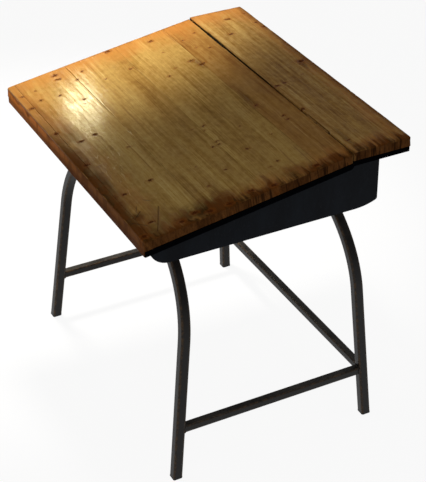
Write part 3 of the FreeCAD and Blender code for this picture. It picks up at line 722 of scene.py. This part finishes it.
for name in ("front", "rear"):
    leg_frame(name)
inner = LEG_TUBE / 2 - RAIL_SUNK
rail_x = (leg_x("front", RAIL_Z) + leg_x("rear", RAIL_Z)) / 2
for word, sign in (("left", -1), ("right", 1)):
    x = sign * rail_x
    rail("%s_rail_tube" % word, Vector((x, leg_y("front", RAIL_Z) + inner, RAIL_Z)),
         Vector((x, leg_y("rear", RAIL_Z) - inner, RAIL_Z)), "side_rail_%s" % word)
half, rail_y = leg_x("rear", RAIL_Z) - inner, leg_y("rear", RAIL_Z)
rail("rear_rail_tube", Vector((-half, rail_y, RAIL_Z)), Vector((half, rail_y, RAIL_Z)), "rear_cross_rail")

# Grid of a board's faces: its step, its lines close to an edge, a step that reads as sharp, and slack.
GRID = 0.006
NEAR_EDGE = (0.0, 0.0004, 0.0009, 0.0015, 0.0022, 0.0030, 0.0040, 0.0055, 0.0080)
SHARP, SLACK = 0.0001, 1e-6

# Rounding of a board's lower edges, and how far down the worn rounding of its upper ones reaches and fades.
UNDER_ROUND, WEAR_REACH, WEAR_FADE = 0.0006, 0.016, 0.008


def grid_lines(low, high, extra=()):
    """Places for the grid of a board's face: close together near both ends, then evenly spaced."""
    clear_of_ends, clear_of_extra = 0.010, 0.001
    count = max(2, round((high - low) / GRID))
    lines = [low + (high - low) * i / count for i in range(1, count)]
    lines = [x for x in lines if low + clear_of_ends < x < high - clear_of_ends]
    lines = [x for x in lines if all(abs(x - e) > clear_of_extra for e in extra)]
    ends = [low + d for d in NEAR_EDGE if low + d < (low + high) / 2]
    ends += [high - d for d in NEAR_EDGE if high - d > (low + high) / 2]
    return sorted(lines + ends + list(extra))


def wear(u, back):
    """How round the edge of the top is worn at a place: uneven, with dents, most at the front right corner."""
    long_wave = noise.noise(Vector((u * 24, back * 24, 3.7)))
    dent = noise.noise(Vector((u * 110, back * 110, 8.1)))
    nick = noise.noise(Vector((u * 260, back * 260, 1.3)))
    round_off = 0.0019 + 0.0008 * long_wave + 0.0030 * max(0.0, dent - 0.34) + 0.0026 * max(0.0, nick - 0.42)
    front = TOP_LENGTH - back
    for x, strength in ((HALF_WIDTH, 0.0030), (-HALF_WIDTH, 0.0014)):
        round_off += strength * exp(-hypot(u - x, front) / 0.014)
        round_off += 0.0012 * exp(-hypot(u - x, back) / 0.012)
    return max(0.0010, round_off)


def board(name, node, ends, low_wear, high_wear, place, back_of, material, body, notch=None, thick=BOARD):
    """A board of the top with worn edges. low_wear and high_wear say how round its front and rear edges are.

    notch says on which edge the hinges are let in, 1 the rear and -1 the front, and how deep down.
    """
    v_low, v_high = ends
    cuts = [x + s * d for x in HINGE_AT for s in (-1, 1) for d in (MORTISE_HALF, MORTISE_HALF + SHARP)]
    across = grid_lines(-HALF_WIDTH, HALF_WIDTH, cuts if notch else ())
    along = grid_lines(v_low, v_high)
    floor_w = notch[1] if notch else -0.010
    down = [-d for d in NEAR_EDGE] + [floor_w, floor_w - SHARP, -thick + UNDER_ROUND, -thick + 2 * SHARP, -thick]
    down = sorted(down + ([-BOARD, -BOARD - SHARP] if thick > BOARD else []))
    mesh = bmesh.new()
    spots = {}

    def vert(i, j, k):
        key = (i, j, k)
        if key in spots:
            return spots[key]
        p = Vector((across[i], along[j], down[k]))
        u, v, w = p
        share = min(1.0, max(0.0, (w + WEAR_REACH) / WEAR_FADE))
        radius = UNDER_ROUND + (wear(u, back_of(v)) - UNDER_ROUND) * share
        sides = Vector((radius, radius * (low_wear if v < (v_low + v_high) / 2 else high_wear), radius))
        sides = Vector(max(side, SLACK) for side in sides)
        q = Vector((min(max(u, -HALF_WIDTH + sides.x), HALF_WIDTH - sides.x),
                    min(max(v, v_low + sides.y), v_high - sides.y),
                    min(max(w, -thick + sides.z), -sides.z)))
        offset = Vector((p[a] - q[a]) / sides[a] for a in range(3))
        if offset.length > 0:
            offset.normalize()
        p = Vector(q[a] + offset[a] * sides[a] for a in range(3))
        if k == len(down) - 1:
            p.z -= SHARP * (1 + noise.noise(Vector((u * 8, back_of(v) * 14, 5.2))))
        if w < -BOARD - SLACK:
            p.x *= NOSING_UNDER / HALF_WIDTH
        if notch and j == (len(along) - 1 if notch[0] > 0 else 0) and w > floor_w - SLACK:
            if any(abs(u - x) < MORTISE_HALF + SLACK for x in HINGE_AT):
                p.y = (v_high if notch[0] > 0 else v_low) - notch[0] * MORTISE_DEEP
        spots[key] = mesh.verts.new(place(p))
        return spots[key]

    sizes = (len(across), len(along), len(down))
    for axis in range(3):
        first, second = [a for a in range(3) if a != axis]
        for end in (0, sizes[axis] - 1):
            for a in range(sizes[first] - 1):
                for b in range(sizes[second] - 1):
                    corners = []
                    for da, db in ((0, 0), (1, 0), (1, 1), (0, 1)):
                        index = [0, 0, 0]
                        index[axis], index[first], index[second] = end, a + da, b + db
                        corners.append(vert(*index))
                    mesh.faces.new(corners)
    piece(name, mesh, body, "wood", material, node, smooth=50)


def on_lid(p):
    """Lid coordinates, across, up the slope and out of it, as a point of the desk. The board edges are plumb."""
    v = p.y + p.z * tan(SLOPE)
    return Vector((p.x, Y_FRONT + v * cos(SLOPE) - p.z * sin(SLOPE), Z_FRONT + v * sin(SLOPE) + p.z * cos(SLOPE)))


def lid_back(v):
    """Distance of a place on the lid from the rear edge of the top."""
    return TOP_LENGTH - v


lid_floor = -(Z_LID - MORTISE_FLOOR) * cos(SLOPE)
board("nosing_wood", "lid_nosing", (0.0, NOSING), 1.0, 0.0, on_lid, lid_back, lid_wood, "lid", thick=NOSING_HIGH)
for i in range(3):
    board("stave_%d_wood" % (i + 1), "lid_stave_%d" % (i + 1), (STAVE_EDGES[i], STAVE_EDGES[i + 1]), 0.0, 0.0,
          on_lid, lid_back, lid_wood, "lid")
board("stave_4_wood", "lid_stave_4", (STAVE_EDGES[3], LID_LENGTH), 0.0, 0.15, on_lid, lid_back, lid_wood, "lid",
      notch=(1, lid_floor))
board("rear_wood", "rear_board", (Y_BOARD, Y_REAR), 0.2, 1.0, lambda p: Vector((p.x, p.y, Z_REAR + p.z)),
      lambda y: Y_REAR - y, rear_wood, "desk_frame", notch=(-1, MORTISE_FLOOR - Z_REAR))


def axes(up):
    """Two directions square to a direction and to each other."""
    up = Vector(up).normalized()
    side = up.orthogonal().normalized()
    return side, up.cross(side), up


def turn_up(mesh, profile, origin, up, count=20):
    """A turned shape from pairs of radius and height, closed at both ends."""
    side, other, up = axes(up)
    rings = []
    for radius, high in profile:
        rings.append([(Vector(origin) + up * high + radius * (side * cos(a) + other * sin(a)), 0.0)
                      for a in (tau * i / count for i in range(count))])
    sweep(mesh, rings)


def slotted_screw(mesh, origin, up, width, high, shank, long, spin):
    """Wood screw: a domed head with a real slot, and a threaded shank that points away from up."""
    side, other, up = axes(up)
    side, other = side * cos(spin) + other * sin(spin), other * cos(spin) - side * sin(spin)
    origin = Vector(origin)
    radius, slot = width / 2, width * 0.07
    turns, steps = 22, 10
    thread = [(shank / 2 * (1.0 if i % 2 else 0.76) * (1 - 0.5 * i / turns), -long * i / turns)
              for i in range(turns + 1)]
    turn_up(mesh, list(reversed(thread)) + [(radius, 0.0), (radius, high * 0.45)], origin, up)
    for sign in (-1, 1):
        rings = []
        for share, level in ((1.0, 0.30), (1.0, 0.62), (0.90, 0.84), (0.62, 0.97), (0.40, 1.0)):
            start = asin(slot / (radius * share))
            ring = []
            for i in range(steps + 1):
                a = start + (pi - 2 * start) * i / steps
                x, y = radius * share * cos(a), sign * radius * share * sin(a)
                ring.append((origin + side * x + other * y + up * high * level, 0.0))
            rings.append(ring)
        sweep(mesh, rings)


def hexagon(mesh, origin, up, flats, high, both=False):
    """Bolt head with its corners turned off on top, or a nut with them turned off on both sides."""
    side, other, up = axes(up)
    apothem, count = flats / 2, 36

    def ring(level, slant):
        """The hexagon, corners raised or lowered by slant, or without one the circle inside it."""
        points = []
        for i in range(count):
            a = tau * i / count
            full = apothem / cos((a + pi / 6) % (pi / 3) - pi / 6)
            radius = apothem * 0.96 if slant is None else full
            rise = level + (slant or 0) * (full - apothem) * 0.58
            points.append((Vector(origin) + up * rise + radius * (side * cos(a) + other * sin(a)), 0.0))
        return points

    low = [(0.0, None), (0.0, 1)] if both else [(0.0, 0)]
    sweep(mesh, [ring(*row) for row in low + [(high, -1), (high, None)]])


# Wood screws: width and height of the head, width of the shank.
BOARD_SCREW = (0.008, 0.0026, 0.004)
HINGE_SCREW = (0.0054, 0.0010, 0.003)


def screws(name, node, body, places, up, size, long, material):
    """A set of screws, each with its slot turned another way."""
    mesh = bmesh.new()
    for i, place in enumerate(places):
        slotted_screw(mesh, place, up, *size, long, 0.6 + 1.9 * i)
    piece(name, mesh, body, "steel", material, node, smooth=35)


lid_normal = Vector((0, -sin(SLOPE), cos(SLOPE)))


def lid_point(x, s, depth):
    """A point under the lid: along the slope, then square to it."""
    return Vector((x, Y_FRONT + s * cos(SLOPE), Z_FRONT + s * sin(SLOPE))) - lid_normal * depth


spans = [(max(a, BATTEN_START) + min(b, BATTEN_STOP)) / 2 for a, b in zip(STAVE_EDGES, STAVE_EDGES[1:] + [LID_LENGTH])]
screws("batten_screw_set", "lid_batten_screws", "lid",
       [lid_point(x, s, BATTEN_UNDER) for x in BATTEN_AT for s in spans], -lid_normal, BOARD_SCREW, 0.024, zinc)
rear_places = [(x, y, FLANGE_UNDER) for x in FLANGE_AT for y in SIDE_SCREW_Y]
rear_places += [(x, REAR_SCREW_Y, FLANGE_UNDER) for x in BATTEN_AT]
screws("rear_screw_set", "rear_board_screws", "desk_frame", rear_places, (0, 0, -1), BOARD_SCREW, 0.012, zinc)
hinge_x = [middle + step for middle in HINGE_AT for step in (-LEAF_SCREW_PITCH, 0.0, LEAF_SCREW_PITCH)]
hinge_z = PIN_Z - (KNUCKLE + LEAF_HIGH) / 2
for leaf, body, facing in (("fixed", "desk_frame", -1), ("lid", "lid", 1)):
    screws("%s_leaf_screw_set" % leaf, "hinge_%s_screws" % leaf, body,
           [(x, LEAF_SEAT[leaf], hinge_z) for x in hinge_x], (0, facing, 0), HINGE_SCREW, 0.012, black_iron)

WASHER = [(0.0062, 0.0), (0.0062, 0.0008), (0.0058, 0.0010)]
BOLT = [(0.0020, -0.0117)] + [(0.0030 if i % 2 else 0.0026, -0.0115 + 0.0005 * i) for i in range(23)]
HEX_FLATS, HEAD_HIGH, NUT_HIGH = 0.010, 0.0030, 0.0050
bolts, nuts = bmesh.new(), bmesh.new()
for x, y in BOLT_AT:
    top = BOX_BOTTOM + BOX_SHEET
    turn_up(bolts, WASHER, (x, y, top), (0, 0, 1), 24)
    hexagon(bolts, (x, y, top + WASHER[-1][1]), (0, 0, 1), HEX_FLATS, HEAD_HIGH)
    turn_up(bolts, BOLT, (x, y, top), (0, 0, 1), 16)
    hexagon(nuts, (x, y, BOX_BOTTOM - BRACKET_PLATE), (0, 0, -1), HEX_FLATS, NUT_HIGH, True)
piece("bolt_set", bolts, "desk_frame", "steel", zinc, "bracket_bolts", smooth=35)
piece("nut_set", nuts, "desk_frame", "steel", zinc, "bracket_nuts", smooth=35)

# Buffer: pairs of radius and height, from the barb below the flange upward, and its places up the slope.
BUFFER = [(0.0022, -0.0042), (0.0034, -0.0034), (0.0035, -0.0022), (0.0025, -0.0012), (0.0025, 0.0), (0.0060, 0.0),
          (0.0060, 0.0008), (0.0057, 0.0013), (0.0050, 0.0016), (0.0040, 0.0017)]
BUFFER_AT, BUFFER_UNDER = (0.060, LID_LENGTH - 0.085), 0.020
buffers = bmesh.new()
for x in FLANGE_AT:
    for s in BUFFER_AT:
        turn_up(buffers, BUFFER, lid_point(x, s, BUFFER_UNDER), lid_normal, 28)
piece("buffer_set", buffers, "desk_frame", "rubber", rubber, "lid_buffers", smooth=35)


def weld(mesh, ring_of, count=66):
    """A closed bead of weld with its ripples. ring_of gives the middle, the way out and the way along the rail."""
    bead, ripple, sides = 0.0017, 3, 8
    rings = []
    for i in range(count):
        middle, outward, along = ring_of(i / count)
        thick = bead * (1 + 0.16 * sin(tau * i / ripple) + 0.22 * noise.noise(middle * 160))
        rings.append([(middle + thick * (outward * cos(a) + along * sin(a)), 0.25)
                      for a in (tau * k / sides for k in range(sides))])
    sweep(mesh, rings, closed=True)


def around_rail(share):
    """A place on the outline of a rail, with the way out of it."""
    section = [point for point, corner in tube_section(RAIL_TUBE, RAIL_ROUND, 6)]
    lines = [(a, b, (b - a).length) for a, b in zip(section, section[1:] + section[:1])]
    goal = share * sum(length for a, b, length in lines)
    for a, b, length in lines:
        if goal <= length:
            spot = a.lerp(b, goal / length)
            break
        goal -= length
    limit = RAIL_TUBE / 2 - RAIL_ROUND
    core = Vector((min(max(spot.x, -limit), limit), min(max(spot.y, -limit), limit)))
    return spot, (spot - core).normalized()


welds = bmesh.new()
for sign in (-1, 1):
    for name, facing in (("front", 1), ("rear", -1)):
        def at_leg(share):
            spot, away = around_rail(share)
            y = leg_y(name, RAIL_Z + spot.y) + facing * LEG_TUBE / 2 / cos(LEAN[name])
            return Vector((sign * rail_x + spot.x, y, RAIL_Z + spot.y)), Vector((away.x, 0, away.y)), Vector((0, 1, 0))
        weld(welds, at_leg)

    def at_rear_leg(share):
        spot, away = around_rail(share)
        z = RAIL_Z + spot.y
        x = sign * (leg_x("rear", z) - LEG_TUBE / 2 * hypot(1, SPLAY))
        return Vector((x, rail_y + spot.x, z)), Vector((0, away.x, away.y)), Vector((1, 0, 0))
    weld(welds, at_rear_leg)
piece("weld_beads", welds, "desk_frame", "tube_paint", tube_black, smooth=60)

BEAM_BLEND = 0.52


def lamp(name, place, aim, size, power, colour=(1, 1, 1), beam=None, mirrored=True):
    """A square soft light, or a round one whose beam, in degrees, fades out toward its rim."""
    data = bpy.data.lights.new(name, "SPOT" if beam else "AREA")
    if beam:
        data.spot_size = radians(beam)
        data.spot_blend = BEAM_BLEND
        data.shadow_soft_size = size
    else:
        data.size = size
    data.energy = power
    data.color = colour
    thing = shown(name, data)
    thing.location = place
    thing.rotation_mode = "QUATERNION"
    thing.rotation_quaternion = (Vector(aim) - Vector(place)).to_track_quat("-Z", "Y")
    thing.visible_camera = False
    thing.visible_glossy = mirrored


lamp("key", (-0.62, -0.06, 1.50), (-0.62, -0.055, 0.5), 0.10, 97.0, (1.0, 0.95, 0.89), 66, False)
lamp("glint", (-1.10, 0.04, 1.16), (-0.15, -0.02, 0.55), 0.08, 0.95, (1.0, 0.94, 0.60))
lamp("front", (-1.3, -1.7, 0.9), (0.0, -0.2, 0.45), 1.0, 6.0, (1.0, 0.97, 0.92), None, False)
lamp("fill", (1.9, -1.6, 1.7), (0.0, 0.0, 0.35), 1.6, 7.0)
lamp("over", (0.1, 0.5, 2.2), (0.0, 0.0, 0.4), 1.6, 4.0)

# White near the horizon where the camera or a reflection sees it, a softer grey overhead and for the light itself.
WHITE, FLOOR_GREY = (255, 255, 255), (247, 247, 247)
world = bpy.data.worlds.new("studio")
bpy.context.scene.world = world
world.use_nodes = True
sky = Nodes(world.node_tree)
upward = sky.parts(sky.add("TexCoord").outputs["Generated"])["Z"]
horizon = sky.times(sky.remap(upward, 0.04, 0.22, 1.0, 0.0, "LINEAR"), sky.seen())
soft = sky.add("Background", WHITE, 0.23)
sky.add("OutputWorld", sky.blend(horizon, soft, sky.add("Background", WHITE)))

# A pale floor that is nearly white where it is seen and still takes a faint shadow.
floor_mesh = bmesh.new()
bmesh.ops.create_grid(floor_mesh, x_segments=2, y_segments=2, size=6.0)
floor_data = bpy.data.meshes.new("floor")
floor_mesh.to_mesh(floor_data)
floor_mesh.free()
floor = shown("floor", floor_data)
floor_paint = Paint("floor_paint")
floor_paint.set(Base_Color=FLOOR_GREY, Roughness=0.9, Specular_IOR_Level=0.0)
lit = floor_paint.times(floor_paint.seen(), 0.92)
glow = floor_paint.add("Emission", WHITE)
floor_paint.feed(floor_paint.out.inputs[0], floor_paint.blend(lit, floor_paint.surface, glow))
floor_data.materials.append(floor_paint.material)

# The photograph's camera, found by fitting the corners of the top, the box and the legs.
azimuth, elevation, roll = (radians(angle) for angle in (62.87, 32.75, -0.37))
target, distance = Vector((0.09594, -0.02036, 0.3439)), 2.7023
back = Vector((sin(azimuth) * cos(elevation), -cos(azimuth) * cos(elevation), sin(elevation)))
lens = bpy.data.cameras.new("camera")
lens.lens = 111.56
lens.sensor_width = 36.0
camera = shown("camera", lens)
camera.location = target + back * distance
camera.rotation_mode = "QUATERNION"
camera.rotation_quaternion = (-back).to_track_quat("-Z", "Y") @ Quaternion((0, 0, 1), roll)
bpy.context.scene.camera = camera

bpy.context.scene.view_settings.view_transform = "Standard"
